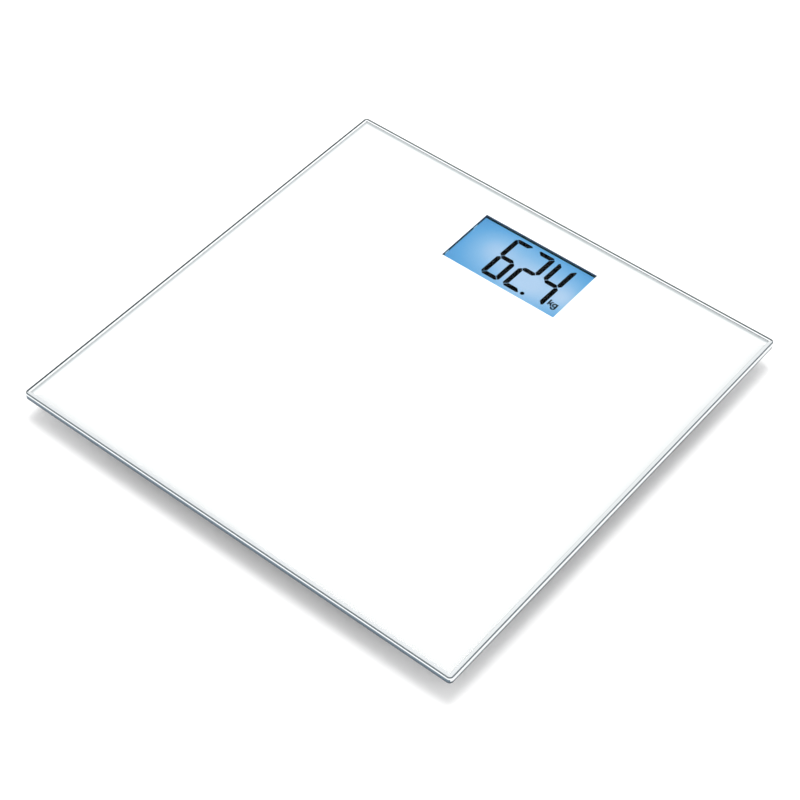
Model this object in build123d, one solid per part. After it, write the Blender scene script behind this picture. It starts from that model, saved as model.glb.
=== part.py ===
"""Glass bathroom scale: a 300 mm square platform of tempered glass on four weighing feet.

Millimetres. The origin is on the floor under the middle of the platform, +Z is up, +Y points at the
edge that carries the display and +X is to the right of a user who reads it.
Each function builds one sub-part and the list at the end writes one STEP file for each.
"""

import math
import os

from build123d import *

# Platform
PLATE = 300.0  # side of the square glass
GLASS_T = 5.0
STAND = 13.0  # floor to the underside of the glass
CORNER_R = 2.5
ARRIS_R = 0.8  # rounding along the top and bottom edges of the glass
PRINT_T = 0.15  # fired white print under the glass
PRINT_MARGIN = 0.85  # clear strip between the print and the edge of the glass
Z_GLUE = STAND - PRINT_T  # the face that everything below is glued to

# Display window and what lies behind it
WINDOW_W, WINDOW_D = 81.0, 44.0
WINDOW_X, WINDOW_Y = 0.5, 108.2
GASKET_T, GASKET_RIM, GASKET_GAP = 1.6, 3.2, 0.1
LCD_W, LCD_D = 85.0, 50.0
LEDGE = 4.0  # the front glass reaches this much further, over the contact strip
LCD_GLASS_T = 1.1
FILM_T = 0.15
CRYSTAL_T = 0.05
DIFFUSER_T = 0.2
GUIDE_T = 1.2

# Seven-segment figures
FIGURE_H, FIGURE_W, STROKE = 36.5, 12.9, 3.05
FIGURE_PITCH = 15.85
FIGURE_X, FIGURE_Y = -16.1, 91.6  # lower left corner of the first figure
SLANT = math.tan(math.radians(1.3))
STROKE_GAP = 0.24  # half of the gap between two segments
FIGURE_CHAMFER = 1.6
POINT_X, POINT_Y, POINT_R = 14.1, 93.1, 1.3  # decimal point
UNIT_X, UNIT_Y, UNIT_H = 30.1, 95.4, 4.4  # lower left corner and height of the k

# Electronics housing
HOUSE_W, HOUSE_D = 104.0, 88.0
HOUSE_X, HOUSE_Y = WINDOW_X, 94.0
HOUSE_R = 6.0
WALL = 1.8
TAPE_T = 0.35
TAPE_RIM = 3.4
FRAME_TOP = Z_GLUE - TAPE_T
FRAME_PLATE = 1.2
SPLIT_Z = 6.5  # parting line between frame and cover
COVER_Z = 2.5  # lowest face of the cover
COVER_T = 1.5
COVER_FILLET = 2.0
LIP_T, LIP_H, LIP_GAP = 1.0, 1.2, 0.1
BOSS_R, BOSS_X, BOSS_INSET = 3.2, 47.2, 5.3
SCREW_R, PILOT_R = 1.1, 1.13
HEAD_R, HEAD_T = 2.1, 1.2

# Circuit board
BOARD_Z, BOARD_T = 6.0, 1.0
BOARD_W, BOARD_D = 97.0, 80.0
BOARD_NOTCH = 6.6
POST_R, POST_X = 2.4, 46.6
BOARD_SCREW_R, BOARD_PILOT_R = 0.8, 0.83
BOARD_HEAD_R, BOARD_HEAD_T = 1.9, 1.0
POST_YS = (70.0, 102.0)

# Coin cell and its door
CELL_X, CELL_Y = HOUSE_X - 22.0, 65.5
CELL_R, CELL_T, CELL_Z = 10.0, 3.2, 4.3
HOLDER_R_IN, HOLDER_R_OUT, HOLDER_FLANGE = 10.3, 11.4, 12.4
DOOR_HALF_W, DOOR_Y0, DOOR_Y1 = 13.5, 54.0, 80.3  # opening in the cover
DOOR_GAP = 0.25
HINGE_Y, HINGE_Z, HINGE_R, HINGE_PIN_R = 78.6, 3.9, 1.4, 0.7
HINGE_PIN_L, HINGE_CLEAR = 1.7, 0.05

# Unit button
BUTTON_X, BUTTON_Y = HOUSE_X + 24.0, 65.5
BUTTON_R, BUTTON_HOLE_R, BUTTON_FLANGE_R = 4.1, 4.3, 5.4
SWITCH_SIDE, SWITCH_T = 4.8, 1.0
BUTTON_TRAVEL = 0.35

# Weighing feet
FOOT_AT = 112.0  # distance of each foot from both middle lines
FOOT_R, FOOT_WALL = 24.0, 1.6
FOOT_GLUE_T, FOOT_GLUE_R = 0.5, 22.0
FOOT_TOP = Z_GLUE - FOOT_GLUE_T
FOOT_PLATE = 1.5
SKIRT_Z = 3.6
LIP_R, FOOT_LIP_T = 21.0, 1.0
SEAT_H = 0.95
SENSOR_SIDE, SENSOR_T, SENSOR_R = 31.0, 2.0, 4.0
SENSOR_HOLE, TONGUE_W, TONGUE_END = 20.0, 9.0, 5.0
SENSOR_TOP = FOOT_TOP - FOOT_PLATE - SEAT_H
SENSOR_Z = SENSOR_TOP - SENSOR_T
NUB_R, NUB_T = 3.5, 1.2
NUB_Z = SENSOR_Z - NUB_T
PAD_T, PAD_R = 1.4, 20.8
CAP_R, CAP_T = 22.5, 1.6
NECK_R, NECK_WALL = 20.6, 2.0
FLANGE_R, FLANGE_Z, FLANGE_T = 21.9, 4.9, 1.0

# Sensor wires and their covers
WIRE_R, WIRE_PITCH, WIRE_Z = 0.5, 1.2, 10.0
WIRE_START, WIRE_START_Z = 9.4, 7.3
DUCT_W, DUCT_WALL, DUCT_Z, DUCT_FILLET = 7.0, 0.8, 8.6, 0.7
NOTCH_W = 5.4
REAR_ENTRY_Y = FOOT_AT
FRONT_ENTRY_X = 41.0
REAR_REACH, FRONT_REACH = 6.5, 9.5

FEET = {
    "front_left": (-FOOT_AT, -FOOT_AT),
    "front_right": (FOOT_AT, -FOOT_AT),
    "rear_left": (-FOOT_AT, FOOT_AT),
    "rear_right": (FOOT_AT, FOOT_AT),
}


def slab(x0, x1, y0, y1, z0, z1):
    """A box from its six faces."""
    size = (x1 - x0, y1 - y0, z1 - z0)
    return Pos((x0 + x1) / 2, (y0 + y1) / 2, (z0 + z1) / 2) * Box(*size)


def plate(x, y, width, depth, z0, z1, radius=0.0):
    """A flat plate around (x, y) with rounded corners."""
    face = RectangleRounded(width, depth, radius) if radius else Rectangle(width, depth)
    return Pos(x, y, z0) * extrude(face, z1 - z0)


def disc(x, y, radius, z0, z1):
    return Pos(x, y, (z0 + z1) / 2) * Cylinder(radius, z1 - z0)


def ring(x, y, outer, inner, z0, z1):
    return disc(x, y, outer, z0, z1) - disc(x, y, inner, z0, z1)


def group(solids):
    """Several separate solids that share one node."""
    return Compound(children=list(solids))


# ---------------------------------------------------------------- platform


def glass_platform():
    glass = plate(0, 0, PLATE, PLATE, STAND, STAND + GLASS_T, CORNER_R)
    rims = glass.faces().filter_by(Axis.Z).edges()
    return fillet(rims, ARRIS_R)


def white_back_print():
    side = PLATE - 2 * PRINT_MARGIN
    coat = plate(0, 0, side, side, Z_GLUE, STAND, CORNER_R - PRINT_MARGIN)
    return coat - plate(WINDOW_X, WINDOW_Y, WINDOW_W, WINDOW_D, Z_GLUE, STAND)


# ---------------------------------------------------------------- display stack, from the top down

LCD_TOP = Z_GLUE - GASKET_T
FRONT_GLASS_TOP = LCD_TOP - FILM_T
CRYSTAL_TOP = FRONT_GLASS_TOP - LCD_GLASS_T
REAR_GLASS_TOP = CRYSTAL_TOP - CRYSTAL_T
REAR_FILM_TOP = REAR_GLASS_TOP - LCD_GLASS_T
DIFFUSER_TOP = REAR_FILM_TOP - FILM_T
GUIDE_TOP = DIFFUSER_TOP - DIFFUSER_T
REFLECTOR_TOP = GUIDE_TOP - GUIDE_T


def behind_window(margin, top, thickness):
    """A plate centred behind the window, reaching this much past it on each side."""
    size = (WINDOW_W + 2 * margin, WINDOW_D + 2 * margin)
    return plate(WINDOW_X, WINDOW_Y, *size, top - thickness, top)


def display_gasket():
    outer = behind_window(GASKET_GAP + GASKET_RIM, Z_GLUE, GASKET_T)
    return outer - behind_window(GASKET_GAP, Z_GLUE, GASKET_T)


def lcd_front_glass():
    x0, x1 = WINDOW_X - LCD_W / 2, WINDOW_X + LCD_W / 2
    y0, y1 = WINDOW_Y - LCD_D / 2 - LEDGE, WINDOW_Y + LCD_D / 2
    return slab(x0, x1, y0, y1, CRYSTAL_TOP, FRONT_GLASS_TOP)


def lcd_rear_glass():
    return plate(WINDOW_X, WINDOW_Y, LCD_W, LCD_D, REAR_FILM_TOP, REAR_GLASS_TOP)


def segment_outlines():
    """The seven segments a to g of one upright figure, as lists of corners."""
    w, h, t, c, g = FIGURE_W, FIGURE_H, STROKE, FIGURE_CHAMFER, STROKE_GAP
    m = h / 2
    top = [(c + g, h), (w - c - g, h), (w - c / 2 - g, h - c / 2), (w - t - g, h - t)]
    top += [(t + g, h - t), (c / 2 + g, h - c / 2)]
    left_upper = [(0, h - c - g), (c / 2, h - c / 2 - g), (t, h - t - g), (t, m + t / 2 + g)]
    left_upper += [(t / 2, m + g), (0, m + t / 2 + g)]
    middle = [(t / 2 + g, m), (t + g, m + t / 2), (w - t - g, m + t / 2), (w - t / 2 - g, m)]
    middle += [(w - t - g, m - t / 2), (t + g, m - t / 2)]

    def flip_x(points):
        return [(w - x, y) for x, y in points]

    def flip_y(points):
        return [(x, h - y) for x, y in points]

    return {
        "a": top,
        "b": flip_x(left_upper),
        "c": flip_x(flip_y(left_upper)),
        "d": flip_y(top),
        "e": flip_y(left_upper),
        "f": left_upper,
        "g": middle,
    }


def ink(points):
    """A flat polygon of driven liquid crystal, from corners in the plane of the display."""
    face = make_face(Polyline(*points, close=True))
    return Pos(0, 0, REAR_GLASS_TOP) * extrude(face, CRYSTAL_T)


def figure(index, lit):
    outlines = segment_outlines()
    solids = []
    for name in lit:
        corners = []
        for x, y in outlines[name]:
            corners.append((FIGURE_X + index * FIGURE_PITCH + x + y * SLANT, FIGURE_Y + y))
        solids.append(ink(corners))
    return solids


def unit_sign():
    """The letters k and g in plain strokes."""
    x, y, high, stem = UNIT_X, UNIT_Y, UNIT_H, 0.8
    k = ink([(x, y), (x + stem, y), (x + stem, y + high), (x, y + high)])
    k += ink([(x + 0.6, y + 1.3), (x + 2.1, y + 3.4), (x + 3.0, y + 3.4), (x + 0.9, y + 0.6)])
    k += ink([(x + 1.1, y + 1.6), (x + 2.2, y), (x + 3.1, y), (x + 1.7, y + 2.4)])
    gx, gy, outer, inner = x + 4.6, y + 1.6, 1.6, 0.85
    z0, z1 = REAR_GLASS_TOP, CRYSTAL_TOP
    g = ring(gx, gy, outer, inner, z0, z1)
    g += slab(gx + inner, gx + outer, y - 0.4, y + 3.2, z0, z1)
    hook = ring(gx, y - 0.4, outer, inner, z0, z1)
    g += hook & slab(gx - outer, gx + outer, y - 2.1, y - 0.4, z0, z1)
    return [*k.solids(), *g.solids()]


def lcd_segments():
    """The reading 62.4 kg."""
    solids = figure(0, "acdefg") + figure(1, "abdeg") + figure(2, "bcfg")
    solids.append(disc(POINT_X, POINT_Y, POINT_R, REAR_GLASS_TOP, CRYSTAL_TOP))
    return group(solids + unit_sign())


def backlight_leds():
    """Two side-firing lamps at each end of the light guide."""
    solids = []
    for side in (-1, 1):
        for y in (WINDOW_Y - 14.0, WINDOW_Y + 14.0):
            x = WINDOW_X + side * (LCD_W / 2 + 0.5)
            solids.append(plate(x, y, 1.2, 3.0, BOARD_Z + BOARD_T, BOARD_Z + BOARD_T + 1.4))
    return group(solids)


def contact_strip():
    """Rubber strip that joins the ledge of the display glass to the board."""
    y = WINDOW_Y - LCD_D / 2 - LEDGE / 2 - 0.2
    return plate(WINDOW_X, y, LCD_W - 8, 2.2, BOARD_Z + BOARD_T, CRYSTAL_TOP)


# ---------------------------------------------------------------- housing


def house(inset, z0, z1):
    """The outline of the housing, drawn in by inset."""
    size = (HOUSE_W - 2 * inset, HOUSE_D - 2 * inset)
    return plate(HOUSE_X, HOUSE_Y, *size, z0, z1, HOUSE_R - min(inset, HOUSE_R - 1))


def boss_places():
    half = HOUSE_D / 2 - BOSS_INSET
    return [(HOUSE_X + sx * BOSS_X, HOUSE_Y + sy * half) for sx in (-1, 1) for sy in (-1, 1)]


def post_places():
    return [(HOUSE_X + side * POST_X, y) for side in (-1, 1) for y in POST_YS]


def housing_tape():
    tape = house(0.4, FRAME_TOP, Z_GLUE)
    return tape - house(0.4 + TAPE_RIM, FRAME_TOP, Z_GLUE)


def housing_frame():
    """Upper half of the housing: a rim and a top plate that the display looks through."""
    frame = house(0, SPLIT_Z, FRAME_TOP) - house(WALL, SPLIT_Z, FRAME_TOP - FRAME_PLATE)
    opening = (LCD_W + 3.4, LCD_D + LEDGE + 0.8)
    frame -= plate(WINDOW_X, WINDOW_Y - LEDGE / 2, *opening, SPLIT_Z, FRAME_TOP)
    for x, y in boss_places():
        frame += disc(x, y, BOSS_R, SPLIT_Z, FRAME_TOP)
    for x, y in post_places():
        frame += disc(x, y, POST_R, BOARD_Z + BOARD_T, FRAME_TOP)
    for x, y in boss_places():
        frame -= disc(x, y, PILOT_R, SPLIT_Z - 1, FRAME_TOP - 0.8)
    for x, y in post_places():
        frame -= disc(x, y, BOARD_PILOT_R, BOARD_Z, FRAME_TOP - 1.5)
    for route in ROUTES.values():
        frame -= route.tunnel(NOTCH_W, WIRE_Z - 0.7, FRAME_TOP)
    return frame


def housing_cover():
    """Lower half, with the battery opening, the button hole and four counterbored screw towers."""
    shell = house(0, COVER_Z, SPLIT_Z)
    floor_rim = shell.faces().sort_by(Axis.Z)[0].edges()
    cover = fillet(floor_rim, COVER_FILLET) - house(WALL, COVER_Z + COVER_T, SPLIT_Z)
    lip = house(WALL + LIP_GAP, SPLIT_Z - 1.0, SPLIT_Z + LIP_H)
    lip -= house(WALL + LIP_GAP + LIP_T, SPLIT_Z - 1.0, SPLIT_Z + LIP_H)
    for x, y in boss_places():
        lip -= disc(x, y, BOSS_R + 0.4, SPLIT_Z, SPLIT_Z + LIP_H)
    root = house(WALL, SPLIT_Z - 1.4, SPLIT_Z - 0.4) - house(WALL + LIP_T, SPLIT_Z - 1.4, SPLIT_Z - 0.4)
    cover += lip + root
    for x, y in boss_places():
        cover += disc(x, y, BOSS_R, COVER_Z + 0.2, SPLIT_Z)
        cover -= disc(x, y, PILOT_R + 0.25, COVER_Z, SPLIT_Z)
        cover -= disc(x, y, HEAD_R + 0.3, COVER_Z, COVER_Z + 2.0)
    for side in (-1, 1):
        a, b = sorted((CELL_X + side * DOOR_HALF_W, CELL_X + side * (DOOR_HALF_W + 2.8)))
        cover += slab(a, b, HINGE_Y - 2.0, DOOR_Y1 + 0.6, COVER_Z, HINGE_Z + 1.5)
    cover -= slab(
        CELL_X - DOOR_HALF_W, CELL_X + DOOR_HALF_W, DOOR_Y0, DOOR_Y1, COVER_Z, SPLIT_Z - 1.5
    )
    pin_reach = DOOR_HALF_W + HINGE_PIN_L
    axle = Cylinder(HINGE_PIN_R + HINGE_CLEAR, 2 * pin_reach)
    cover -= Pos(CELL_X, HINGE_Y, HINGE_Z) * Rot(0, 90, 0) * axle
    cover -= disc(BUTTON_X, BUTTON_Y, BUTTON_HOLE_R, COVER_Z, SPLIT_Z)
    cover -= disc(BUTTON_X, BUTTON_Y, BUTTON_HOLE_R + 1.4, COVER_Z, COVER_Z + 0.4)
    return cover


def cross_slot(x, y, z0, z1, long, wide=0.6):
    return plate(x, y, long, wide, z0, z1) + plate(x, y, wide, long, z0, z1)


def screw(x, y, head_z, head_r, head_t, shank_r, top_z):
    """A cross-head screw that points up, its head from head_z."""
    body = disc(x, y, head_r, head_z, head_z + head_t) + disc(x, y, shank_r, head_z, top_z)
    return body - cross_slot(x, y, head_z, head_z + 0.6, head_r * 1.3)


def housing_screws():
    head = COVER_Z + 2.0 - HEAD_T
    return group(
        screw(x, y, head, HEAD_R, HEAD_T, SCREW_R, FRAME_TOP - 1.3) for x, y in boss_places()
    )


def board_screws():
    head = BOARD_Z - BOARD_HEAD_T
    return group(
        screw(x, y, head, BOARD_HEAD_R, BOARD_HEAD_T, BOARD_SCREW_R, FRAME_TOP - 2.0)
        for x, y in post_places()
    )


# ---------------------------------------------------------------- circuit board


def circuit_board():
    top = BOARD_Z + BOARD_T
    board = plate(HOUSE_X, HOUSE_Y, BOARD_W, BOARD_D, BOARD_Z, top, 1.0)
    for sx in (-1, 1):
        for sy in (-1, 1):
            corner = (HOUSE_X + sx * BOARD_W / 2, HOUSE_Y + sy * BOARD_D / 2)
            board -= plate(*corner, 2 * BOARD_NOTCH, 2 * BOARD_NOTCH, BOARD_Z, top)
    for x, y in post_places():
        board -= disc(x, y, 1.0, BOARD_Z, top)
    return board - disc(CELL_X, CELL_Y, HOLDER_R_OUT + 0.2, BOARD_Z, top)


def controller_chip():
    """Epoxy drop over the bonded controller, under the board."""
    drop = Pos(HOUSE_X + 2, 96, BOARD_Z - 0.7) * Cylinder(6.5, 1.4)
    rim = drop.faces().sort_by(Axis.Z)[0].edges()
    return fillet(rim, 1.1)


def chip_parts():
    """Resistors, capacitors and one oscillator can under the board."""
    solids = []
    for row in range(3):
        for column in range(6):
            x, y = HOUSE_X + 16 + 4.2 * column, 86.0 + 6.0 * row
            solids.append(plate(x, y, 1.6, 0.8, BOARD_Z - 0.6, BOARD_Z))
    for y in (88.0, 96.0, 104.0):
        solids.append(plate(HOUSE_X - 14, y, 2.0, 1.3, BOARD_Z - 0.9, BOARD_Z))
    solids.append(plate(HOUSE_X - 24, 96.0, 5.0, 3.2, BOARD_Z - 1.2, BOARD_Z, 0.5))
    return group(solids)


def switch_body():
    low = BOARD_Z - SWITCH_T
    body = plate(BUTTON_X, BUTTON_Y, SWITCH_SIDE, SWITCH_SIDE, low, BOARD_Z, 0.4)
    return body - disc(BUTTON_X, BUTTON_Y, 1.2, low, BOARD_Z - 0.05)


def switch_plunger():
    return disc(BUTTON_X, BUTTON_Y, 1.1, BOARD_Z - SWITCH_T - BUTTON_TRAVEL - 0.05, BOARD_Z - 0.5)


def unit_button():
    flange_top = BOARD_Z - SWITCH_T - BUTTON_TRAVEL - 0.05
    flange_low = COVER_Z + COVER_T + 0.05
    cap = disc(BUTTON_X, BUTTON_Y, BUTTON_R, COVER_Z + 0.1, flange_low)
    cap = fillet(cap.faces().sort_by(Axis.Z)[0].edges(), 0.5)
    dish = Pos(BUTTON_X, BUTTON_Y, COVER_Z + 0.1 - 17.6) * Sphere(18.0)
    return (cap - dish) + disc(BUTTON_X, BUTTON_Y, BUTTON_FLANGE_R, flange_low, flange_top)


# ---------------------------------------------------------------- coin cell


def cell_holder():
    top = CELL_Z + CELL_T + 1.1
    body = disc(CELL_X, CELL_Y, HOLDER_R_OUT, CELL_Z, top)
    body += disc(CELL_X, CELL_Y, HOLDER_FLANGE, BOARD_Z + BOARD_T, BOARD_Z + BOARD_T + 0.6)
    body -= disc(CELL_X, CELL_Y, HOLDER_R_IN, CELL_Z, top - 0.65)
    return body - disc(CELL_X, CELL_Y, 3.0, CELL_Z, top)


def coin_cell():
    """Can with its crimped rim and the smaller cap on the upper side."""
    can = disc(CELL_X, CELL_Y, CELL_R, CELL_Z, CELL_Z + CELL_T - 0.5)
    can = fillet(can.edges(), 0.25)
    return can + disc(CELL_X, CELL_Y, CELL_R - 1.2, CELL_Z + 1.0, CELL_Z + CELL_T)


def cell_contact_negative():
    """Spring leaf above the cell, with a pressed dimple."""
    low = CELL_Z + CELL_T
    leaf = plate(CELL_X, CELL_Y, 15.0, 4.0, low + 0.2, low + 0.4, 1.0)
    return leaf + disc(CELL_X, CELL_Y, 1.4, low, low + 0.3)


def cell_contact_positive():
    """Curved leaf between the cell's side and the holder."""
    sleeve = ring(CELL_X, CELL_Y, HOLDER_R_IN, CELL_R + 0.08, CELL_Z + 0.6, CELL_Z + 3.0)
    return sleeve & slab(CELL_X, CELL_X + 12, CELL_Y - 4.0, CELL_Y + 4.0, CELL_Z, CELL_Z + 4.0)


def battery_door():
    """Flap with a hinge barrel at the rear, two pins and a latch tongue with grip ridges in front."""
    half = DOOR_HALF_W - DOOR_GAP
    y0 = DOOR_Y0 + DOOR_GAP
    door = slab(CELL_X - half, CELL_X + half, y0, HINGE_Y, COVER_Z, HINGE_Z)
    along = Pos(CELL_X, HINGE_Y, HINGE_Z) * Rot(0, 90, 0)
    door += along * Cylinder(HINGE_R, 2 * half)
    door += along * Cylinder(HINGE_PIN_R, 2 * (half + HINGE_PIN_L))
    tongue_w, tongue_l, slot = 9.0, 6.5, 0.8
    for side in (-1, 1):
        slot_x = CELL_X + side * (tongue_w + slot) / 2
        door -= plate(slot_x, y0 + tongue_l / 2, slot, tongue_l, COVER_Z, HINGE_Z)
    door += slab(CELL_X - 3, CELL_X + 3, y0 - 0.2, y0, HINGE_Z - 0.6, HINGE_Z)
    for step in range(4):
        y = y0 + 1.2 + 1.3 * step
        door += plate(CELL_X, y, tongue_w - 2, 0.5, COVER_Z - 0.3, COVER_Z)
    thumb = Pos(CELL_X, y0 + 12.5, COVER_Z - 23.2) * Sphere(24.0)
    return door - thumb


# ---------------------------------------------------------------- weighing feet


class Route:
    """The straight way of one sensor's wires from its foot to the housing."""

    def __init__(self, foot, entry, reach):
        self.foot, self.entry = Vector(*foot, 0), Vector(*entry, 0)
        span = self.entry - self.foot
        self.length = span.length
        self.u = span.normalized()
        self.v = Vector(-self.u.Y, self.u.X, 0)
        self.reach = reach
        self.angle = math.degrees(math.atan2(self.u.Y, self.u.X))

    def at(self, along, across, z):
        return self.foot + self.u * along + self.v * across + Vector(0, 0, z)

    def placed(self, shape):
        """A shape drawn around the origin with +X towards the housing, set at this foot."""
        return Pos(self.foot.X, self.foot.Y, 0) * Rot(0, 0, self.angle) * shape

    def tunnel(self, width, z0, z1):
        """The notch that the wires use in the wall of the housing."""
        near, far = self.length - 4.0, self.length + 4.5
        return self.placed(slab(near, far, -width / 2, width / 2, z0, z1))


def make_routes():
    half_w, half_d = HOUSE_W / 2, HOUSE_D / 2
    routes = {}
    for name, foot in FEET.items():
        side = 1 if foot[0] > 0 else -1
        if "rear" in name:
            entry, reach = (HOUSE_X + side * half_w, REAR_ENTRY_Y), REAR_REACH
        else:
            entry, reach = (HOUSE_X + side * FRONT_ENTRY_X, HOUSE_Y - half_d), FRONT_REACH
        routes[name] = Route(foot, entry, reach)
    return routes


ROUTES = make_routes()


def foot_glue(route):
    return route.placed(disc(0, 0, FOOT_GLUE_R, FOOT_TOP, Z_GLUE))


def foot_housing(route):
    """Cup glued to the glass: top plate, seat for the sensor, skirt and the lip that keeps the cap in."""
    cup = disc(0, 0, FOOT_R, SKIRT_Z, FOOT_TOP)
    cup = fillet(cup.edges().sort_by(Axis.Z)[-1], 0.6)
    cup -= disc(0, 0, FOOT_R - FOOT_WALL, SKIRT_Z + FOOT_LIP_T, FOOT_TOP - FOOT_PLATE)
    cup -= disc(0, 0, LIP_R, SKIRT_Z, SKIRT_Z + FOOT_LIP_T)
    seat_low = FOOT_TOP - FOOT_PLATE - SEAT_H
    seat = plate(0, 0, SENSOR_SIDE, SENSOR_SIDE, seat_low, FOOT_TOP - FOOT_PLATE, SENSOR_R)
    cup += seat - plate(0, 0, SENSOR_SIDE - 9, SENSOR_SIDE - 9, seat_low, FOOT_TOP - FOOT_PLATE, 2.0)
    stop = SENSOR_SIDE / 2 + 0.1
    for turn in (90, 180, 270):
        rib = slab(stop, stop + 1.6, -4, 4, SENSOR_Z + 0.4, FOOT_TOP - FOOT_PLATE)
        cup += Rot(0, 0, turn) * rib
    notch = slab(FOOT_R - 5, FOOT_R + 1, -NOTCH_W / 2, NOTCH_W / 2, WIRE_Z - 0.7, FOOT_TOP - FOOT_PLATE)
    return route.placed(cup - notch)


def load_cell(route):
    """Stamped steel plate: the frame takes the load, the tongue bends over its nub."""
    body = plate(0, 0, SENSOR_SIDE, SENSOR_SIDE, SENSOR_Z, SENSOR_TOP, SENSOR_R)
    body -= plate(0, 0, SENSOR_HOLE, SENSOR_HOLE, SENSOR_Z, SENSOR_TOP, 1.5)
    reach = SENSOR_HOLE / 2
    body += slab(-TONGUE_END, reach + 0.1, -TONGUE_W / 2, TONGUE_W / 2, SENSOR_Z, SENSOR_TOP)
    nub = disc(0, 0, NUB_R, NUB_Z, SENSOR_Z + 0.1)
    nub = fillet(nub.edges().sort_by(Axis.Z)[0], 0.6)
    return route.placed(body + nub)


def strain_gauges():
    """One foil gauge under the root of each tongue."""
    gauge = slab(5.4, 9.2, -2.4, 2.4, SENSOR_Z - 0.25, SENSOR_Z)
    return group(route.placed(gauge) for route in ROUTES.values())


def foot_cap(route):
    """Floating cap: it rises with the load and presses its middle post on the sensor's nub."""
    cap = disc(0, 0, CAP_R, PAD_T, PAD_T + CAP_T)
    cap += ring(0, 0, CAP_R, PAD_R + 0.2, PAD_T - 0.5, PAD_T)
    neck_low = PAD_T + CAP_T
    cap += ring(0, 0, NECK_R, NECK_R - NECK_WALL, neck_low, FLANGE_Z + FLANGE_T)
    cap += ring(0, 0, FLANGE_R, NECK_R - NECK_WALL, FLANGE_Z, FLANGE_Z + FLANGE_T)
    cap += disc(0, 0, 5.0, neck_low, NUB_Z)
    for turn in range(0, 180, 45):
        rib = slab(-NECK_R + 1, NECK_R - 1, -0.6, 0.6, neck_low, FLANGE_Z)
        cap += Rot(0, 0, turn) * rib
    return route.placed(cap)


def foot_pad(route):
    """Soft disc with three moulded rings of grip on its sole."""
    pad = disc(0, 0, PAD_R, 0, PAD_T)
    pad = fillet(pad.edges().sort_by(Axis.Z)[0], 0.6)
    for radius in (6.0, 10.5, 15.0):
        pad -= ring(0, 0, radius + 0.7, radius, 0, 0.4)
    return route.placed(pad)


def sensor_cable(route):
    """Three wires side by side, from the gauge through the cover to the board."""
    solids = []
    for lane in (-1, 0, 1):
        across = lane * WIRE_PITCH
        end = route.length + route.reach
        points = [
            route.at(WIRE_START, across, WIRE_START_Z),
            route.at(16.4, across, WIRE_START_Z),
            route.at(19.8, across, WIRE_Z),
            route.at(end, across, WIRE_Z),
            route.at(end, across, BOARD_Z + BOARD_T),
        ]
        path = FilletPolyline(*points, radius=[2.0, 2.0, 1.4])
        start = Plane(origin=path @ 0, z_dir=path % 0)
        solids.append(sweep(start * Circle(WIRE_R), path=path))
    return group(solids)


def wire_cover(route):
    """Channel glued under the glass between a foot and the housing."""
    start, end = FOOT_R - 4, route.length + 8
    channel = slab(start, end, -DUCT_W / 2, DUCT_W / 2, DUCT_Z, Z_GLUE)
    low_edges = channel.edges().filter_by(Axis.X).sort_by(Axis.Z)[:2]
    channel = fillet(low_edges, DUCT_FILLET)
    inner = DUCT_W / 2 - DUCT_WALL
    channel -= slab(start, end, -inner, inner, DUCT_Z + DUCT_WALL, Z_GLUE)
    channel -= disc(0, 0, FOOT_R + 0.15, DUCT_Z, Z_GLUE)
    return route.placed(channel) - house(-0.15, 0, STAND)


# ---------------------------------------------------------------- the parts


def all_parts():
    parts = {
        "glass_platform": glass_platform(),
        "white_back_print": white_back_print(),
        "display_gasket": display_gasket(),
        "lcd_front_polariser": behind_window(0.9, LCD_TOP, FILM_T),
        "lcd_front_glass": lcd_front_glass(),
        "lcd_segments": lcd_segments(),
        "lcd_rear_glass": lcd_rear_glass(),
        "lcd_rear_polariser": behind_window(0.9, REAR_FILM_TOP, FILM_T),
        "backlight_diffuser": behind_window(1.2, DIFFUSER_TOP, DIFFUSER_T),
        "backlight_light_guide": behind_window(1.2, GUIDE_TOP, GUIDE_T),
        "backlight_reflector": behind_window(1.2, REFLECTOR_TOP, FILM_T),
        "backlight_leds": backlight_leds(),
        "lcd_contact_strip": contact_strip(),
        "circuit_board": circuit_board(),
        "controller_chip": controller_chip(),
        "chip_parts": chip_parts(),
        "board_screws": board_screws(),
        "unit_switch_body": switch_body(),
        "unit_switch_plunger": switch_plunger(),
        "unit_button": unit_button(),
        "housing_tape": housing_tape(),
        "housing_frame": housing_frame(),
        "housing_cover": housing_cover(),
        "housing_screws": housing_screws(),
        "coin_cell_holder": cell_holder(),
        "coin_cell": coin_cell(),
        "cell_contact_negative": cell_contact_negative(),
        "cell_contact_positive": cell_contact_positive(),
        "battery_door": battery_door(),
        "strain_gauges": strain_gauges(),
    }
    makers = {
        "foot_glue": foot_glue,
        "foot_housing": foot_housing,
        "load_cell": load_cell,
        "foot_cap": foot_cap,
        "foot_pad": foot_pad,
        "sensor_cable": sensor_cable,
        "wire_cover": wire_cover,
    }
    for place, route in ROUTES.items():
        for name, make in makers.items():
            parts[f"{name}_{place}"] = make(route)
    return parts


os.makedirs("parts", exist_ok=True)
for node, shape in all_parts().items():
    export_step(shape, f"parts/{node}.step")
    print(node, len(shape.solids()), round(shape.volume, 1))
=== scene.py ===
# %% [markdown]
# # A glass bathroom scale
# The engineering model arrives as a fixed frame: every sub-part, at its real size, already in place.
# This notebook gives each one its finish, rebuilds the pieces whose shape matters most to the eye, and
# sets up the studio. Lengths are metres. +Z is up, +Y points at the edge with the display.

# %% Load the frame
import math

import bmesh
import bpy
from mathutils import Matrix, Vector


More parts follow.
